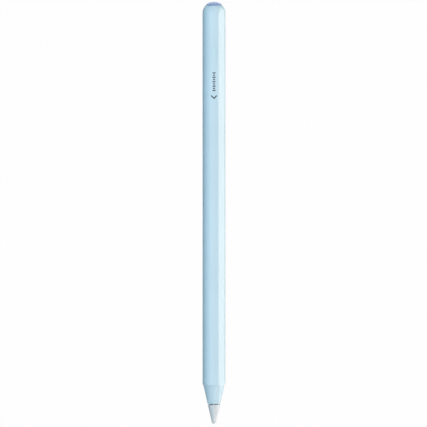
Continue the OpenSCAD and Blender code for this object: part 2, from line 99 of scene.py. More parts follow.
# the same as in the CAD, or finishing touches of the skin
BORE_R = 3.7
BLEND_R = 1.2          # blends the flat into the round surface
TOP_ROUND_R = 4.2      # rounding of the barrel's upper end
TAPER = math.radians(12.7)
TIP_R = 0.86           # rounding of the nib's point
BEVEL_H = 0.65         # height of the bevel between nose and barrel
PART_LINE = 0.015      # how far the edges of nose and barrel are broken where they meet
EASE = 0.06            # how far the barrel curves in to the bevel
EASE_H = 0.3           # the height of that curve
WALL_LOW_Z = SHOULDER_Z + 0.6   # where the barrel's plain wall starts
BUTTON_R = 2.92
BUTTON_HOLE_R = 3.02
BUTTON_DOME_H = 0.9    # how high the button's middle stands over its edge
LIP_Z = heights("button_seal")[1] + 0.02   # underside of the lip that holds the button in
NOSE_BORE_R = 1.5
BUSH_R = 2.0
BUSH_FLANGE_R = 2.6
BUSH_FLANGE_H = 0.5
SPIGOT_R = 3.67
SPIGOT_BORE_R = 2.9
STUD_R = 0.7           # the end of the shaft that the nib screws on to
THREAD_PITCH = 0.4

WINDOW_ANGLE = math.radians(-47)    # from the middle of the flat
WINDOW_GAP = 0.03      # all round the window
WINDOW_Z = (WINDOW_LOW_Z + WINDOW_HIGH_Z) / 2
WINDOW_L = WINDOW_HIGH_Z - WINDOW_LOW_Z + 2 * WINDOW_GAP
WINDOW_W = 2.3
WINDOW_SOFT = 0.03     # rounding of the window's edge and of its opening's
WINDOW_DROP = 0.01     # how far the window lies below the barrel's surface
WINDOW_MARGIN = 0.4    # width of the patch of barrel round the window's opening


def cone_r(z):
    """Radius of the taper that the nib and the nose share."""
    return TIP_R * (1 / math.cos(TAPER) - math.tan(TAPER)) + math.tan(TAPER) * z


def placed(points):
    """Points in the pen's own millimetres, as metres in the shared frame."""
    return (np.asarray(points, float) + ORIGIN) * MM


# ---------- meshes ----------

def ring_faces(first, second):
    """Quads between two closed loops of vertex numbers."""
    n = len(first)
    return [(first[i], first[(i + 1) % n], second[(i + 1) % n], second[i]) for i in range(n)]


class Skin:
    """Collects the loops of points and the faces of one closed mesh."""

    def __init__(self):
        self.points, self.faces = [], []

    def loop(self, points):
        """Adds points and returns their vertex numbers."""
        start = len(self.points)
        self.points.extend(points)
        return list(range(start, len(self.points)))

    def cover(self, loops, closed=False):
        """Quads between each loop and the next, and from the last to the first if closed."""
        for first, second in zip(loops, loops[1:] + (loops[:1] if closed else [])):
            self.faces += ring_faces(first, second)

    def cap(self, loop, hub=None):
        """Fills a loop with a fan. The loop runs anticlockwise as seen from outside."""
        if hub is None:
            hub = np.mean([self.points[i] for i in loop], axis=0)
        self.points.append(tuple(hub))
        last = len(self.points) - 1
        n = len(loop)
        self.faces += [(loop[i], loop[(i + 1) % n], last) for i in range(n)]

    def drop_unused(self):
        """Forgets the points that no face uses."""
        used = sorted({v for f in self.faces for v in f})
        number = {v: i for i, v in enumerate(used)}
        self.points = [self.points[v] for v in used]
        self.faces = [tuple(number[v] for v in f) for f in self.faces]

    def make(self, name, body, finish, sharp=40):
        """The mesh as an object that rides on a body. Edges over `sharp` degrees stay sharp."""
        mesh = bpy.data.meshes.new(name)
        mesh.from_pydata([tuple(p) for p in placed(self.points)], [], self.faces)
        mesh.polygons.foreach_set("use_smooth", [True] * len(mesh.polygons))
        mesh.set_sharp_from_angle(angle=math.radians(sharp))
        obj = bpy.data.objects.new(name, mesh)
        bpy.context.scene.collection.objects.link(obj)
        mesh.materials.append(MATERIALS[finish])
        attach(obj, body)
        return obj


def arc(centre, radius, start, end, steps):
    """Points (r, z) on an arc between two angles in degrees."""
    angles = np.radians(np.linspace(start, end, steps + 1))
    return [(centre[0] + radius * math.cos(a), centre[1] + radius * math.sin(a)) for a in angles]


def filleted(points, steps=5):
    """Rounds an outline's corners. A point is (r, z), or (r, z, fillet radius)."""
    out = []
    for i, (r, z, *fillet) in enumerate(points):
        here = np.array([r, z], float)
        if not fillet:
            out.append((r, z))
            continue
        before = np.array(points[i - 1][:2]) - here
        after = np.array(points[(i + 1) % len(points)][:2]) - here
        before, after = before / np.linalg.norm(before), after / np.linalg.norm(after)
        half = math.acos(np.clip(before @ after, -1, 1)) / 2
        bisector = (before + after) / np.linalg.norm(before + after)
        centre = here + bisector * fillet[0] / math.sin(half)
        start = here + before * fillet[0] / math.tan(half) - centre
        end = here + after * fillet[0] / math.tan(half) - centre
        turn = math.atan2(start[0] * end[1] - start[1] * end[0], start @ end)
        for t in np.linspace(0, turn, steps + 1):
            c, s = math.cos(t), math.sin(t)
            out.append(tuple(centre + (start[0] * c - start[1] * s, start[0] * s + start[1] * c)))
    return out


def lathe(outline, closed=True, segments=128):
    """Turns an outline of (r, z) about the axis, anticlockwise with r to the right.
    An open one starts and ends on the axis."""
    skin = Skin()
    around = np.linspace(0, 2 * math.pi, segments, endpoint=False)
    rows = outline if closed else outline[1:-1]
    loops = [skin.loop([(r * math.cos(a), r * math.sin(a), z) for a in around]) for r, z in rows]
    skin.cover(loops, closed)
    if not closed:
        skin.cap(loops[0][::-1], (0, 0, outline[0][1]))
        skin.cap(loops[-1], (0, 0, outline[-1][1]))
    return skin


def tube(path, radius, sides=14):
    """Closed round tube along a list of points, with its ends capped."""
    path = np.array(path, float)
    along = np.gradient(path, axis=0)
    along /= np.linalg.norm(along, axis=1)[:, None]
    skin, loops = Skin(), []
    for p, t in zip(path, along):
        side = np.cross(t, (0, 0, 1))
        side /= np.linalg.norm(side)
        up = np.cross(side, t)
        loops.append(skin.loop([p + radius * (math.cos(a) * side + math.sin(a) * up)
                                for a in np.linspace(0, 2 * math.pi, sides, endpoint=False)]))
    skin.cover(loops)
    skin.faces = [f[::-1] for f in skin.faces]
    skin.cap(loops[0])
    skin.cap(loops[-1][::-1])
    return skin


# ---------- barrel and nose: a round surface with one blended flat ----------

BLEND_X = FLAT_X - BLEND_R                                 # centre of the blend arc
BLEND_Y = math.sqrt((BODY_R - BLEND_R) ** 2 - BLEND_X ** 2)
BLEND_START = math.atan2(BLEND_Y, FLAT_X)
BLEND_END = math.atan2(BLEND_Y, BLEND_X)
CREASE = 0.3           # how softly the flat runs out into the taper and the rounded end


def section_r(theta):
    """Radius of the barrel's outline at an angle from the middle of the flat."""
    t = abs((theta + math.pi) % (2 * math.pi) - math.pi)
    if t < BLEND_START:
        return FLAT_X / math.cos(t)
    if t < BLEND_END:
        reach = math.hypot(BLEND_X, BLEND_Y)
        off = BLEND_END - t
        return reach * math.cos(off) + math.sqrt(BLEND_R ** 2 - (reach * math.sin(off)) ** 2)
    return BODY_R


def column_angles():
    """Angles of the mesh's columns, closer together over the flat and its blends."""
    flat = [math.atan2(y, FLAT_X) for y in np.linspace(-BLEND_Y, BLEND_Y, 21)]
    blend = list(np.linspace(BLEND_START, BLEND_END, 11)[1:])
    back = list(np.linspace(BLEND_END, 2 * math.pi - BLEND_END, 181)[1:])
    return flat + blend + back + [2 * math.pi - a for a in blend[-2::-1]]


COLUMNS = [(a, section_r(a)) for a in column_angles()]


def soft_min(a, b, k):
    """The smaller of two values, blended over k where they are close."""
    h = max(k - abs(a - b), 0) / k if k > 1e-6 else 0
    return min(a, b) - h * h * k / 4


def shell_ring(r, z, inset=0):
    """A circle of radius r, cut back where the flat lies lower."""
    points = []
    for a, section in COLUMNS:
        flatness = (BODY_R - section) / (BODY_R - FLAT_X)
        radius = soft_min(section - inset, r, CREASE * min(1, flatness))
        points.append((radius * math.cos(a), radius * math.sin(a), z))
    return points


def stadium_reach(u, v, width, length):
    """Distance from a stadium's middle to its edge, towards the unit vector (u, v). It is long
    along v."""
    half, straight_end = width / 2, (length - width) / 2
    side = half / abs(u) if abs(u) > 1e-9 else 1e9
    if side * abs(v) <= straight_end:
        return side
    c = straight_end * abs(v)
    return c + math.sqrt(c * c - straight_end ** 2 + half * half)


def round_window(beside, along, radius):
    """Point on a round surface, given its offsets from the window's middle.
    `beside` goes round the pen and `along` runs with its axis."""
    x = math.sqrt(radius ** 2 - beside ** 2)
    c, s = math.cos(WINDOW_ANGLE), math.sin(WINDOW_ANGLE)
    return (x * c - beside * s, x * s + beside * c, WINDOW_Z + along)


def window_offsets(point):
    """A point's offsets from the window's middle, across and along the barrel."""
    c, s = math.cos(WINDOW_ANGLE), math.sin(WINDOW_ANGLE)
    return point[1] * c - point[0] * s, point[2] - WINDOW_Z


def window_outline(skin, edge, radius, grow=0.0, depth=0.0):
    """The window's opening, with one point for each vertex of the edge round it."""
    points = []
    for v in edge:
        beside, along = window_offsets(skin.points[v])
        size = math.hypot(beside, along)
        u, w = beside / size, along / size
        k = stadium_reach(u, w, WINDOW_W + grow, WINDOW_L + grow)
        points.append(round_window(u * k, w * k, radius - depth))
    return points


def window_patch(skin, edge, outline, radius):
    """Loops from an edge to the opening inside it, all on the round surface."""
    loops = [edge]
    for t in (0.4, 0.7, 0.9):
        points = []
        for v, end in zip(edge, outline):
            a, b = window_offsets(skin.points[v]), window_offsets(end)
            points.append(round_window(a[0] + (b[0] - a[0]) * t, a[1] + (b[1] - a[1]) * t, radius))
        loops.append(skin.loop(points))
    return loops + [skin.loop(outline)]


def cut_window(skin, outside, inside, rows):
    """Replaces a block of the wall by a patch that has the window's opening in it. The rings of
    vertices of the wall's two sides are given by their height, and rows are the block's heights."""
    turn = [(a - WINDOW_ANGLE + math.pi) % (2 * math.pi) - math.pi for a, _ in COLUMNS]
    reach = (WINDOW_W / 2 + WINDOW_MARGIN) / BODY_R
    first, *_, last = [j for j, t in enumerate(turn) if abs(t) < reach]
    block = {side[z][j] for side in (outside, inside) for z in rows for j in range(first, last + 1)}
    skin.faces = [f for f in skin.faces if not all(v in block for v in f)]

    def edge_of_block(side):
        low, high = side[rows[0]], side[rows[-1]]
        return (low[first:last] + [side[z][last] for z in rows[:-1]]
                + high[last:first:-1] + [side[z][first] for z in rows[:0:-1]])

    outer_edge, inner_edge = edge_of_block(outside), edge_of_block(inside)
    grow = 2 * WINDOW_SOFT
    outer = window_patch(skin, outer_edge, window_outline(skin, outer_edge, BODY_R, grow), BODY_R)
    bend = [skin.loop(window_outline(skin, outer_edge, BODY_R, grow * (1 - math.sin(a)),
                                     WINDOW_SOFT * (1 - math.cos(a))))
            for a in np.radians(np.linspace(0, 90, 6)[1:])]
    inner = window_patch(skin, inner_edge, window_outline(skin, inner_edge, BORE_R), BORE_R)
    skin.cover(outer + bend + inner[::-1])
    skin.drop_unused()


def barrel_shell():
    """Tube with a rounded upper end, an inward lip at its rim and an opening for the window."""
    skin = Skin()
    round_x = BODY_R - TOP_ROUND_R
    sweep = math.degrees(math.acos((BUTTON_HOLE_R - round_x) / TOP_ROUND_R))
    round_z = RIM_Z - TOP_ROUND_R * math.sin(math.radians(sweep))
    rim_sweep = 2.6        # degrees of the round end that the rim's fillet takes

    # heights of the wall's rings; those beside the window are closer together
    half = WINDOW_L / 2 + WINDOW_MARGIN
    rows = list(np.linspace(WINDOW_Z - half, WINDOW_Z + half, 25))
    wall = (list(np.linspace(WALL_LOW_Z, rows[0], 40)[:-1]) + rows
            + list(np.linspace(rows[-1], round_z, 12)[1:]))
    crown = arc((round_x, round_z), TOP_ROUND_R, 0, sweep - rim_sweep, 28)[1:]
    lip = filleted([crown[-1], (BUTTON_HOLE_R, RIM_Z, 0.06), (BUTTON_HOLE_R, LIP_Z, 0.03),
                    (BORE_R, LIP_Z, 0.05), (BORE_R, wall[-1])])[1:-1]

    loops = [skin.loop(shell_ring(BODY_R - EASE, SHOULDER_Z, inset=PART_LINE))]
    for low in np.linspace(1, 0, 9):
        r = BODY_R - EASE * low ** 2
        loops.append(skin.loop(shell_ring(r, SHOULDER_Z + PART_LINE + EASE_H * (1 - low))))
    outside = {z: skin.loop(shell_ring(BODY_R, z)) for z in wall}
    loops += list(outside.values())
    loops += [skin.loop(shell_ring(r, z)) for r, z in crown + lip]
    inside = {z: skin.loop(shell_ring(BORE_R, z)) for z in reversed(wall)}
    loops += list(inside.values()) + [skin.loop(shell_ring(BORE_R, SHOULDER_Z))]
    skin.cover(loops, closed=True)
    cut_window(skin, outside, inside, rows)
    return skin


def shell_from(outline):
    """A closed mesh of shell rings. An outline's point is (r, z)."""
    skin = Skin()
    skin.cover([skin.loop(shell_ring(r, z)) for r, z in outline], closed=True)
    return skin


def groove(z, depth=0.13, width=0.34):
    """Three points of a shallow groove round the taper."""
    return [(cone_r(z - width / 2), z - width / 2), (cone_r(z) - depth, z),
            (cone_r(z + width / 2), z + width / 2)]


def nose_shell():
    """Front with its grooved lip, taper, bevel, and the spigot that carries the barrel."""
    bush_z, bush_top = heights("shaft_bushing")
    flange_z, bush_hole_r = bush_top - BUSH_FLANGE_H, BUSH_R + 0.02
    lip_z, bevel_z, edge_r = NOSE_Z + 1.1, SHOULDER_Z - BEVEL_H, BODY_R - EASE
    taper_low, taper_high = lip_z + 0.3, bevel_z - 0.3
    taper = [(cone_r(z), z) for z in np.linspace(taper_low, taper_high, 40)]
    front = filleted([(NOSE_BORE_R, NOSE_Z, 0.06), (cone_r(NOSE_Z), NOSE_Z, 0.1),
                      *[(r, z, 0.05) for r, z in groove(lip_z)], (cone_r(taper_low), taper_low)])
    bevel = filleted([taper[-1], (cone_r(bevel_z), bevel_z, 0.8), (edge_r, SHOULDER_Z - PART_LINE, 0.05),
                      (edge_r, SHOULDER_Z)], steps=8)
    inside = filleted([(edge_r, SHOULDER_Z), (SPIGOT_R, SHOULDER_Z, 0.04),
                       (SPIGOT_R, SPIGOT_END_Z, 0.15), (SPIGOT_BORE_R, SPIGOT_END_Z, 0.08),
                       (SPIGOT_BORE_R, flange_z, 0.05), (bush_hole_r, flange_z, 0.04),
                       (bush_hole_r, bush_z, 0.04), (NOSE_BORE_R, bush_z, 0.04),
                       (NOSE_BORE_R, NOSE_Z + 0.1)])
    return shell_from(front[:-1] + taper + bevel[1:-1] + inside[:-1])


def nib_tip():
    """Rounded point, taper with a shallow groove, and the recess that takes the insert."""
    insert_low, recess_z = heights("nib_insert")
    insert_z, groove_z = insert_low - 0.2, NIB_L - 1.0
    recess_r, insert_r = 1.6, 1.17
    point = arc((0, TIP_R), TIP_R, -90, -math.degrees(TAPER), 14)
    base = filleted([(cone_r(2), 2), *[(r, z, 0.05) for r, z in groove(groove_z, 0.08)],
                     (cone_r(NIB_L), NIB_L, 0.1), (recess_r, NIB_L, 0.06), (recess_r, recess_z, 0.06),
                     (insert_r, recess_z), (insert_r, insert_z, 0.1), (0, insert_z)])
    slope = [(cone_r(z), z) for z in np.linspace(0.7, 6, 12)]
    return lathe([(0, 0)] + point[1:] + slope + base[1:], closed=False, segments=160)


def button_dome():
    """Post, flange and domed head, whose edge stands a little above the barrel's rim."""
    post_z = heights("button_cap")[0]
    flange_r, flange_top, flange_h, post_r = BORE_R - 0.3, LIP_Z - 0.4, 0.6, 0.92
    dome_r = (BUTTON_R ** 2 + BUTTON_DOME_H ** 2) / (2 * BUTTON_DOME_H)
    edge = 0.35            # width of the rounded edge round the dome
    start = math.degrees(math.acos((BUTTON_R - edge) / dome_r))
    dome = arc((0, TOP_Z - dome_r), dome_r, start, 90, 28)
    sides = filleted([(0, post_z), (post_r, post_z, 0.12), (post_r, flange_top - flange_h, 0.1),
                      (flange_r, flange_top - flange_h, 0.08), (flange_r, flange_top, 0.08),
                      (BUTTON_R, flange_top, 0.04), (BUTTON_R, TOP_Z - BUTTON_DOME_H, 0.14), dome[0]])
    return lathe(sides[:-1] + dome, closed=False, segments=160)


def window_lens():
    """An oval plug, a hair below the barrel's surface."""
    skin = Skin()
    width, length = WINDOW_W - 2 * WINDOW_GAP, WINDOW_L - 2 * WINDOW_GAP
    angles = np.linspace(0, 2 * math.pi, 96, endpoint=False)
    top, bottom = BODY_R - WINDOW_DROP, BORE_R + 0.02

    def ring(share, radius, shrink=0.0):
        points = []
        for a in angles:
            u, v = math.cos(a), math.sin(a)
            k = stadium_reach(u, v, width - 2 * shrink, length - 2 * shrink) * share
            points.append(round_window(u * k, v * k, radius))
        return skin.loop(points)

    face = [ring(s, top, WINDOW_SOFT) for s in (0.12, 0.3, 0.5, 0.7, 0.85, 0.95, 1)]
    bend = [ring(1, top - WINDOW_SOFT * (1 - math.cos(a)), WINDOW_SOFT * (1 - math.sin(a)))
            for a in np.radians(np.linspace(0, 90, 5)[1:])]
    back = [ring(s, bottom) for s in (1, 0.8, 0.5, 0.2)]
    skin.cover((face + bend + back)[::-1])
    skin.cap(face[0], round_window(0, 0, top))
    skin.cap(back[-1][::-1], round_window(0, 0, bottom))
    return skin


# ---------- small pieces that show in the gaps ----------

def tip_shaft():
    """Stud for the nib, rod, collar, and the tail that the spring sits on."""
    low, high = heights("tip_shaft")
    rod_r, collar_r, tail_r = 1.2, 2.1, 0.9
    shoulder, collar_low, collar_high = 7.3, 15.1, 15.9
    return lathe(filleted([(0, low), (STUD_R, low, 0.12), (STUD_R, shoulder), (rod_r, shoulder, 0.1),
                           (rod_r, collar_low), (collar_r, collar_low, 0.1),
                           (collar_r, collar_high, 0.1), (tail_r, collar_high), (tail_r, high, 0.2),
                           (0, high)]), closed=False, segments=96)


def screw_thread(radius, low, high, pitch, crest=0.042):
    """A helical ridge round a stud, which fades in and out at its ends."""
    root, half_root, half_crest = -0.02, 0.13, 0.03
    skin, loops = Skin(), []
    steps = int((high - low) / pitch * 48)
    for i in range(steps + 1):
        u = i / steps
        a, z = 2 * math.pi * (high - low) / pitch * u, low + (high - low) * u
        fade = min(1, u * 10, (1 - u) * 10)
        shape = [(root, -half_root), (root, half_root), (crest * fade, half_crest),
                 (crest * fade, -half_crest)]
        loops.append(skin.loop([((radius + r) * math.cos(a), (radius + r) * math.sin(a), z + dz)
                                for r, dz in shape]))
    skin.cover(loops)
    skin.cap(loops[0][::-1])
    skin.cap(loops[-1])
    return skin


def nib_insert():
    """A threaded sleeve with a groove round its middle."""
    low, high = heights("nib_insert")
    r, groove_r, bore = 1.15, 1.0, 0.75
    groove_low, groove_high = (low + high) / 2 - 0.2, (low + high) / 2 + 0.2
    return lathe(filleted([(bore, low, 0.05), (r, low, 0.08), (r, groove_low), (groove_r, groove_low),
                           (groove_r, groove_high), (r, groove_high), (r, high, 0.06),
                           (bore, high, 0.08)]), segments=96)


def o_ring(node):
    """A ring of round section in the node's height, a point every 15 degrees."""
    low, high = span(node)
    minor = (high[2] - low[2]) / 2
    return lathe(arc((high[1] - minor, low[2] + minor), minor, 0, 345, 23), segments=96)


def flat_ring(node, inner_r, fillet):
    """A ring of the node's height and outer radius, with rounded edges."""
    low, high = span(node)
    return lathe(filleted([(inner_r, low[2], fillet), (high[1], low[2], fillet),
                           (high[1], high[2], fillet), (inner_r, high[2], fillet)]))


def bushing():
    """Flanged sleeve that guides the shaft."""
    low, high = heights("shaft_bushing")
    bore, flange_z = 1.25, high - BUSH_FLANGE_H
    return lathe(filleted([(bore, low, 0.06), (BUSH_R, low, 0.08), (BUSH_R, flange_z),
                           (BUSH_FLANGE_R, flange_z, 0.05), (BUSH_FLANGE_R, high, 0.08),
                           (bore, high, 0.06)]), segments=96)


def pad():
    """The soft disc that presses on the force sensor."""
    low, high = span("sensor_pad")
    return lathe(filleted([(0, low[2]), (high[1], low[2], 0.1), (high[1], high[2], 0.1), (0, high[2])]),
                 closed=False, segments=72)


def coil_spring(node, wire_r, turns):
    """Compression spring with closed end turns, in the node's height."""
    low, high = span(node)
    mean_r, height = high[1] - wire_r, high[2] - low[2] - 2 * wire_r
    closed = 2.3 * wire_r      # rise of each end turn

    def rise(u):
        if u < 1:
            return u * closed
        if u > turns - 1:
            return height - (turns - u) * closed
        return closed + (u - 1) * (height - 2 * closed) / (turns - 2)

    return tube([(mean_r * math.cos(2 * math.pi * u), mean_r * math.sin(2 * math.pi * u),
                  low[2] + wire_r + rise(u)) for u in np.linspace(0, turns, turns * 48 + 1)], wire_r)


# ---------- printed ornament: short bars and a chevron ----------

INK = 0.012            # height of the print above the surface
LINE_W = 0.48
BAR_LOW_Z, BAR_PITCH, BAR_COUNT = 131.8, 0.86, 9
BAR_HALVES = (0.62, 0.42)      # half lengths of the long and the short bars, which alternate
CHEVRON_Z, CHEVRON_ARM = 128.7, 1.15


def stroke(path, width):
    """A thin raised line of print with round ends. The path is (beside, along) on the barrel."""
    spacing, first = 0.05, 0.15        # between the cross-sections, and an angle on the round end
    path = np.array(path, float)
    steps = np.linalg.norm(np.diff(path, axis=0), axis=1)
    along = np.concatenate([[0], np.cumsum(steps)])
    marks = np.linspace(0, along[-1], max(9, int(along[-1] / spacing) + 1))
    ends = width / 2 * (1 - np.cos(np.linspace(first, math.pi / 2, 6)))
    marks = np.unique(np.concatenate([ends, marks[(marks > ends[-1]) & (marks < along[-1] - ends[-1])],
                                      along[-1] - ends]))
    points = np.stack([np.interp(marks, along, path[:, k]) for k in (0, 1)], axis=1)
    heading = np.gradient(points, axis=0)
    heading /= np.linalg.norm(heading, axis=1)[:, None]
    # the line's cross-section: its share of the half width to each side, and the height there
    section = ((-1, -INK), (1, -INK), (1, INK * 0.6), (0.8, INK), (0, INK), (-0.8, INK), (-1, INK * 0.6))
    skin, loops = Skin(), []
    for point, (x, y), mark in zip(points, heading, marks):
        from_end = min(mark, along[-1] - mark, width / 2)
        half = math.sqrt((width / 2) ** 2 - (width / 2 - from_end) ** 2)
        loops.append(skin.loop([
            round_window(point[0] - y * side * half, point[1] + x * side * half - WINDOW_Z, BODY_R + lift)
            for side, lift in section]))
    skin.cover(loops)
    skin.cap(loops[0][::-1])
    skin.cap(loops[-1])
    return skin


# ---------- materials ----------

class Nodes:
    """A Principled material with short calls for the nodes behind it."""

    def __init__(self, name, **values):
        self.material = bpy.data.materials.new(name)
        self.material.use_nodes = True
        self.tree = self.material.node_tree
        self.shader = self.tree.nodes["Principled BSDF"]
        for key, value in values.items():
            self.shader.inputs[key.replace("_", " ")].default_value = value
        self.place = self.tree.nodes.new("ShaderNodeTexCoord").outputs["Object"]

    def node(self, kind, inputs=None, **settings):
        """A new node. Each input is given a value, or another node's output to link."""
        made = self.tree.nodes.new("ShaderNode" + kind)
        for key, value in settings.items():
            setattr(made, key, value)
        for key, value in (inputs or {}).items():
            if isinstance(value, bpy.types.NodeSocket):
                self.tree.links.new(value, made.inputs[key])
            else:
                made.inputs[key].default_value = value
        return made

    def link(self, output, socket):
        """Feeds an output into one of the shader's sockets."""
        self.tree.links.new(output, self.shader.inputs[socket])

    def noise(self, feature_mm, detail=3, stretch=(1, 1, 1)):
        """Noise with features of about a size. A higher stretch makes them finer along that axis."""
        place = self.place
        if stretch != (1, 1, 1):
            place = self.node("Mapping", {"Vector": place, "Scale": stretch}).outputs[0]
        return self.node("TexNoise", {"Vector": place, "Scale": 1 / (feature_mm * MM),
                                      "Detail": detail}).outputs["Fac"]

    def spread(self, value, low, high, start=0.3, end=0.7):
        """Turns a value that runs from start to end into one that runs from low to high."""
        return self.node("MapRange", {"Value": value, "From Min": start, "From Max": end,
                                      "To Min": low, "To Max": high}).outputs["Result"]

    def mix(self, factor, first, second):
        """Blends two colours. The factor and both colours are values or outputs."""
        made = self.node("Mix", data_type="RGBA")
        sockets = [s for s in made.inputs if s.enabled]
        for socket, value in zip(sockets, (factor, first, second)):
            if isinstance(value, bpy.types.NodeSocket):
                self.tree.links.new(value, socket)
            else:
                socket.default_value = value
        return next(s for s in made.outputs if s.enabled)

    def bump(self, height, depth_mm, strength=1.0, after=None):
        """A normal from a height, on top of an earlier one if there is one."""
        inputs = {"Height": height, "Distance": depth_mm * MM, "Strength": strength}
        if after is not None:
            inputs["Normal"] = after
        return self.node("Bump", inputs).outputs["Normal"]

    def edges(self, start=0.52, end=0.62):
        """1 on worn outer edges, 0 elsewhere."""
        point = self.node("NewGeometry").outputs["Pointiness"]
        return self.spread(point, 0, 1, start, end)


def rgba(color, scale=1.0):
    """The colour with its brightness scaled, and an alpha of 1."""
    return (*[min(1, c * scale) for c in color], 1)


def moulded(name, color, rough, feature=0.25, depth=0.004, vary=0.05, wear=1.12, **values):
    """Moulded plastic: faint mottling, a fine skin and paler rubbed edges. The skin's grain has a
    feature size and a depth in mm, and wear is how much brighter the edges are."""
    mottling, sheen = feature * 30, feature * 12       # mm
    n = Nodes(name, **values)
    base = n.mix(n.spread(n.noise(mottling), 0, 1), rgba(color, 1 - vary), rgba(color, 1 + vary))
    n.link(n.mix(n.edges(), base, rgba(color, wear)), "Base Color")
    n.link(n.spread(n.noise(sheen), rough - 0.04, rough + 0.04), "Roughness")
    n.link(n.bump(n.noise(feature, 4), depth), "Normal")
    return n.material


def metal(name, color, rough, stretch=(1, 1, 1), depth=0.003, feature=0.08):
    """Metal with turning or drawing marks, tarnish and bright edges."""
    n = Nodes(name, Metallic=1.0)
    marks = n.noise(feature, 3, stretch)
    base = n.mix(n.spread(n.noise(feature * 20), 0, 1), rgba(color, 0.82), rgba(color, 1.05))
    n.link(n.mix(n.edges(), base, rgba(color, 1.3)), "Base Color")
    n.link(n.spread(marks, rough - 0.08, rough + 0.1), "Roughness")
    n.link(n.bump(marks, depth), "Normal")
    return n.material


def solder_mask():
    """Circuit board: lacquer over fine tracks, with speckled grain."""
    n = Nodes("board_green", Specular_IOR_Level=0.5)
    tracks = n.node("TexBrick", {"Vector": n.place, "Scale": 900.0, "Mortar Size": 0.02,
                                 "Color1": rgba((0.016, 0.11, 0.07)), "Color2": rgba((0.02, 0.14, 0.085)),
                                 "Mortar": rgba((0.035, 0.2, 0.12))})
    n.link(n.mix(n.spread(n.noise(2), 0, 0.4), tracks.outputs["Color"], rgba((0.012, 0.08, 0.055))),
           "Base Color")
    n.link(n.spread(n.noise(0.5), 0.25, 0.4), "Roughness")
    n.link(n.bump(tracks.outputs["Fac"], 0.01, 0.5), "Normal")
    return n.material


def winding(name, color):
    """Close turns of enamelled wire, with painted shade in the grooves between turns and a painted highlight along
    each turn.
    """
    n = Nodes(name, Metallic=1.0, Coat_Weight=0.4, Coat_Roughness=0.15)
    turns = n.node("TexWave", {"Vector": n.place, "Scale": 1600.0, "Distortion": 0.6, "Detail": 1.0},
                   bands_direction="Z").outputs["Fac"]
    # the wave bands also paint the colour: painted shade in the grooves between turns, painted highlight along
    # each turn's crown
    n.link(n.mix(turns, rgba(color, 0.55), rgba(color, 1.1)), "Base Color")
    n.link(n.spread(n.noise(0.2), 0.25, 0.45), "Roughness")
    n.link(n.bump(turns, 0.03), "Normal")
    return n.material


def shell_paint():
    """The pen's pale blue satin plastic."""
    n = Nodes("shell_blue", Specular_IOR_Level=0.5)
    color = (0.50, 0.74, 0.88)
    drift = n.spread(n.noise(22, 1), 0, 1, 0.35, 0.65)
    base = n.mix(drift, rgba(color, 0.985), rgba(color, 1.015))
    speck = n.spread(n.noise(0.15, 2), 0, 0.06, 0.55, 0.75)
    base = n.mix(speck, base, rgba(color, 0.9))
    n.link(n.mix(n.edges(0.54, 0.7), base, rgba(color, 1.15)), "Base Color")
    n.link(n.spread(n.noise(3), 0.285, 0.335), "Roughness")
    n.link(n.bump(n.noise(0.12, 4), 0.0012, 0.6, n.bump(n.noise(5, 2), 0.004, 0.5)), "Normal")
    return n.material


MATERIALS = {
    "shell_blue": shell_paint(),
    "button_blue": moulded("button_blue", (0.25, 0.39, 0.66), 0.33, 0.15, 0.001, 0.02, 1.05,
                           Specular_IOR_Level=0.3),
    "nib_white": moulded("nib_white", (0.58, 0.705, 0.775), 0.33, 0.12, 0.002, 0.02, 1.02,
                         Coat_Weight=0.8, Coat_Roughness=0.3),
    "window_blue": moulded("window_blue", (0.49, 0.765, 0.885), 0.33, 0.2, 0.001, 0.02, 1.05),
    "steel": metal("steel", (0.60, 0.61, 0.63), 0.28, (1, 1, 12)),
    "brass": metal("brass", (0.72, 0.53, 0.22), 0.26, (1, 1, 10)),
    "copper": winding("copper", (0.72, 0.36, 0.18)),
    "nickel": metal("nickel", (0.70, 0.70, 0.68), 0.2),
    "ferrite": moulded("ferrite", (0.05, 0.05, 0.055), 0.6, 0.1, 0.01, 0.2, 1.6),
    "cell_metal": metal("cell_metal", (0.62, 0.63, 0.64), 0.32, (6, 6, 1)),
    "film_blue": moulded("film_blue", (0.07, 0.22, 0.45), 0.25, 1.2, 0.02, 0.08, 1.3,
                         Coat_Weight=0.4, Coat_Roughness=0.15),
    "foam_grey": moulded("foam_grey", (0.16, 0.17, 0.18), 0.9, 0.12, 0.06, 0.2, 1.1),
    "rubber_dark": moulded("rubber_dark", (0.03, 0.03, 0.035), 0.65, 0.1, 0.004, 0.15, 1.4),
    "silicone": moulded("silicone", (0.70, 0.71, 0.70), 0.55, 0.15, 0.003, 0.03, 1.05,
                        Subsurface_Weight=0.15, Subsurface_Scale=0.0003),
    "nylon_grey": moulded("nylon_grey", (0.10, 0.11, 0.13), 0.5, 0.2, 0.006, 0.1, 1.5),
    "nylon_dark": moulded("nylon_dark", (0.04, 0.045, 0.05), 0.48, 0.2, 0.006, 0.12, 1.6),
    "board_green": solder_mask(),
    "chip_black": moulded("chip_black", (0.025, 0.025, 0.03), 0.55, 0.06, 0.005, 0.25, 1.6),
    "ceramic_tan": moulded("ceramic_tan", (0.42, 0.30, 0.18), 0.5, 0.08, 0.004, 0.15, 1.2),
    "flex_amber": moulded("flex_amber", (0.60, 0.24, 0.04), 0.22, 0.6, 0.003, 0.12, 1.2,
                          Coat_Weight=0.5, Coat_Roughness=0.1),
    "wire_red": moulded("wire_red", (0.45, 0.03, 0.02), 0.38, 0.3, 0.004, 0.1, 1.3),
    "led_white": moulded("led_white", (0.80, 0.82, 0.78), 0.3, 0.2, 0.002, 0.03, 1.05),
}
MATERIALS["ink"] = moulded("ink", (0.022, 0.055, 0.085), 0.5, 0.08, 0.001, 0.1, 1.1)

for row in frame["record"]["subparts"]:
    node = frame["nodes"][row["node"]]
    node.data.materials.clear()
    node.data.materials.append(MATERIALS[row["material_slot"]])

# ---------- the pieces ----------

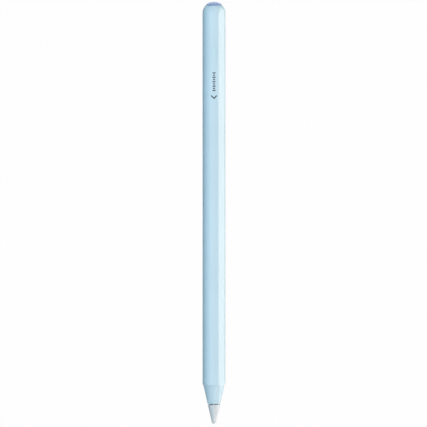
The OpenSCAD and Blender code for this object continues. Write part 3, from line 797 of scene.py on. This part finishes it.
PIECES = [
    ("barrel_shell", barrel_shell, "pen", "shell_blue", "barrel"),
    ("nose_shell", nose_shell, "pen", "shell_blue", "nose_cone"),
    ("window_lens", window_lens, "pen", "window_blue", "status_window"),
    ("nib_tip", nib_tip, "nib", "nib_white", "nib"),
    ("button_dome", button_dome, "button", "button_blue", "button_cap"),
    ("turned_shaft", tip_shaft, "shaft", "steel", "tip_shaft"),
    ("threaded_insert", nib_insert, "nib", "brass", "nib_insert"),
    ("stud_seal", lambda: o_ring("nib_seal"), "seal", "rubber_dark", "nib_seal"),
    ("shaft_bush", bushing, "pen", "brass", "shaft_bushing"),
    ("button_gasket", lambda: flat_ring("button_seal", 3.07, 0.06), "pen", "silicone", "button_seal"),
    ("pressure_pad", pad, "pen", "silicone", "sensor_pad"),
    ("nib_coil", lambda: coil_spring("nib_spring", 0.17, 6), "pen", "steel", "nib_spring"),
    ("button_coil", lambda: coil_spring("button_spring", 0.15, 4), "pen", "steel", "button_spring"),
]
made = {}
for name, build, body, slot, node in PIECES:
    made[name] = build().make(name, body, slot)
    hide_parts(node)
screw_thread(STUD_R, 5.0, 6.85, THREAD_PITCH).make("stud_thread", "shaft", "steel")

for i in range(BAR_COUNT):
    half, z = BAR_HALVES[i % 2], BAR_LOW_Z + i * BAR_PITCH
    stroke([(-half, z), (half, z)], LINE_W).make(f"printed_bar_{i + 1}", "pen", "ink")
arm_end = CHEVRON_Z + CHEVRON_ARM
chevron = [(-CHEVRON_ARM, arm_end), (0, CHEVRON_Z), (CHEVRON_ARM, arm_end)]
stroke(chevron, LINE_W).make("printed_chevron", "pen", "ink")

SOFT_PIECES = {"nib_spring": "nib_coil", "sensor_pad": "pressure_pad", "button_spring": "button_coil"}
for row in frame["joints"]:
    for soft in row.get("deforming_nodes") or []:
        node, travel = soft["node"], row["range_m"][1]
        piece = SOFT_PIECES[node]
        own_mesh(made[piece])

# ---------- stage, light and camera ----------

PHOTO_AZIMUTH, PHOTO_ELEVATION = 43.0, 7.75
LENS, SENSOR = 800.0, 36.0
FRAME_WIDTH = 166.4              # mm that the picture spans at the pen
ASIDE, ABOVE = -0.19, -0.03      # mm that the picture's middle lies beside and above the pen's
CENTRE = Vector(placed([(0, 0, TOP_Z / 2)])[0])
WHITE = (0.99, 0.99, 0.99, 1)     # the backdrop and the floor
STUDIO_R = 3.0                   # metres from the pen to each light
BANK_WIDE, BANK_TALL = 30, 35    # degrees that one softbox of a bank spans
BANK_TILT = 35                   # degrees of a bank's low and high softboxes below and above level


def direction(azimuth, elevation):
    """Unit vector from the pen. Azimuth 0 is towards -Y."""
    a, e = math.radians(azimuth), math.radians(elevation)
    return Vector((math.sin(a) * math.cos(e), -math.cos(a) * math.cos(e), math.sin(e)))


def stage_floor():
    """A round plain floor below the pen that neither lights nor shades it."""
    mesh = bpy.data.meshes.new("floor")
    n, radius, z = 96, 12.0, cad_box[0].z - 0.3
    mesh.from_pydata([(radius * math.cos(2 * math.pi * i / n), radius * math.sin(2 * math.pi * i / n), z)
                      for i in range(n)], [], [tuple(range(n))])
    obj = bpy.data.objects.new("floor", mesh)
    bpy.context.scene.collection.objects.link(obj)
    paper = bpy.data.materials.new("floor_white")
    paper.use_nodes = True
    shader = paper.node_tree.nodes["Principled BSDF"]
    shader.inputs["Base Color"].default_value = (0, 0, 0, 1)
    shader.inputs["Specular IOR Level"].default_value = 0
    shader.inputs["Emission Color"].default_value = WHITE
    shader.inputs["Emission Strength"].default_value = 1
    mesh.materials.append(paper)
    obj.visible_diffuse = obj.visible_glossy = obj.visible_shadow = False


def softbox(name, azimuth, elevation, wide, tall, radiance, tint=(1, 1, 1)):
    """An area light that faces the pen. It spans the angles wide and tall, in degrees, and its
    azimuth is counted from the camera's."""
    width, height = (2 * STUDIO_R * math.tan(math.radians(angle / 2)) for angle in (wide, tall))
    light = bpy.data.lights.new(name, "AREA")
    light.shape, light.size, light.size_y = "RECTANGLE", width, height
    light.energy, light.color = radiance * width * height * math.pi, tint
    obj = bpy.data.objects.new(name, light)
    back = direction(PHOTO_AZIMUTH + azimuth, elevation)
    obj.location = CENTRE + back * STUDIO_R
    obj.rotation_mode = "QUATERNION"
    obj.rotation_quaternion = (-back).to_track_quat("-Z", "Y")
    obj.visible_camera = False
    bpy.context.scene.collection.objects.link(obj)


def light_bank(name, azimuth, radiance, tint=(1, 1, 1), low=1.0, high=1.0):
    """Three softboxes one above the other, which light upright surfaces evenly from end to end. The low
    one falls on the taper and the high one on the rounded end. What they are short of a full share,
    the level one makes up."""
    slant = 0.8            # what a low or high one gives an upright surface, beside the level one
    level = 1 + slant * (2 - low - high)
    for place, tilt, share in (("low", -BANK_TILT, low), ("level", 0, level), ("high", BANK_TILT, high)):
        softbox(f"{name}_{place}", azimuth, tilt, BANK_WIDE, BANK_TALL, radiance * share, tint)


def studio_world(ambient, sky):
    """White to the camera, and a dim even fill to everything else."""
    world = bpy.data.worlds.new("studio")
    world.use_nodes = True
    tree = world.node_tree
    background = tree.nodes["Background"]
    path = tree.nodes.new("ShaderNodeLightPath")
    mix = tree.nodes.new("ShaderNodeMix")
    mix.data_type = "RGBA"
    sockets = [s for s in mix.inputs if s.enabled]
    tree.links.new(path.outputs["Is Camera Ray"], sockets[0])
    sockets[1].default_value = ambient
    sockets[2].default_value = sky
    tree.links.new(next(s for s in mix.outputs if s.enabled), background.inputs["Color"])
    bpy.context.scene.world = world


stage_floor()
studio_world((0.08, 0.08, 0.08, 1), WHITE)
light_bank("left_fill", -60, 0.4, (0.6, 1, 1.15), low=0.1, high=0.4)
light_bank("left_front", -30, 1.15, (0.93, 1, 1.06), low=0.1, high=0.4)
light_bank("front", 0, 1.32, (1.08, 1, 0.99), low=0.6, high=0.8)
light_bank("right_front", 30, 0.8, (1.33, 1, 0.82), low=1.6)
light_bank("right_fill", 90, 0.2, (1.8, 1, 0.4))
light_bank("back", 180, 1.1)
softbox("flat_strip", 99, 0, 18, 60, 4.9, (1.1, 1, 0.94))
softbox("low_right", 90, -35, 30, 35, 2.5)
softbox("low_back", 150, -35, 30, 35, 2.0)
softbox("overhead", 0, 89, 45, 45, 1.35)
softbox("back_high", 180, 38, 50, 40, 1.3)
softbox("floor_bounce", 0, -75, 60, 50, 0.15)

camera = bpy.data.cameras.new("camera")
camera.lens, camera.sensor_width = LENS, SENSOR
view = bpy.data.objects.new("camera", camera)
bpy.context.scene.collection.objects.link(view)
bpy.context.scene.camera = view
back = direction(PHOTO_AZIMUTH, PHOTO_ELEVATION)
view.rotation_mode = "QUATERNION"
view.rotation_quaternion = (-back).to_track_quat("-Z", "Y")
view.location = (CENTRE + back * (FRAME_WIDTH * MM * LENS / SENSOR)
                 + view.rotation_quaternion @ Vector((ASIDE, ABOVE, 0)) * MM)
camera.clip_start, camera.clip_end = 0.01, 60

bpy.context.scene.view_settings.view_transform = "Standard"
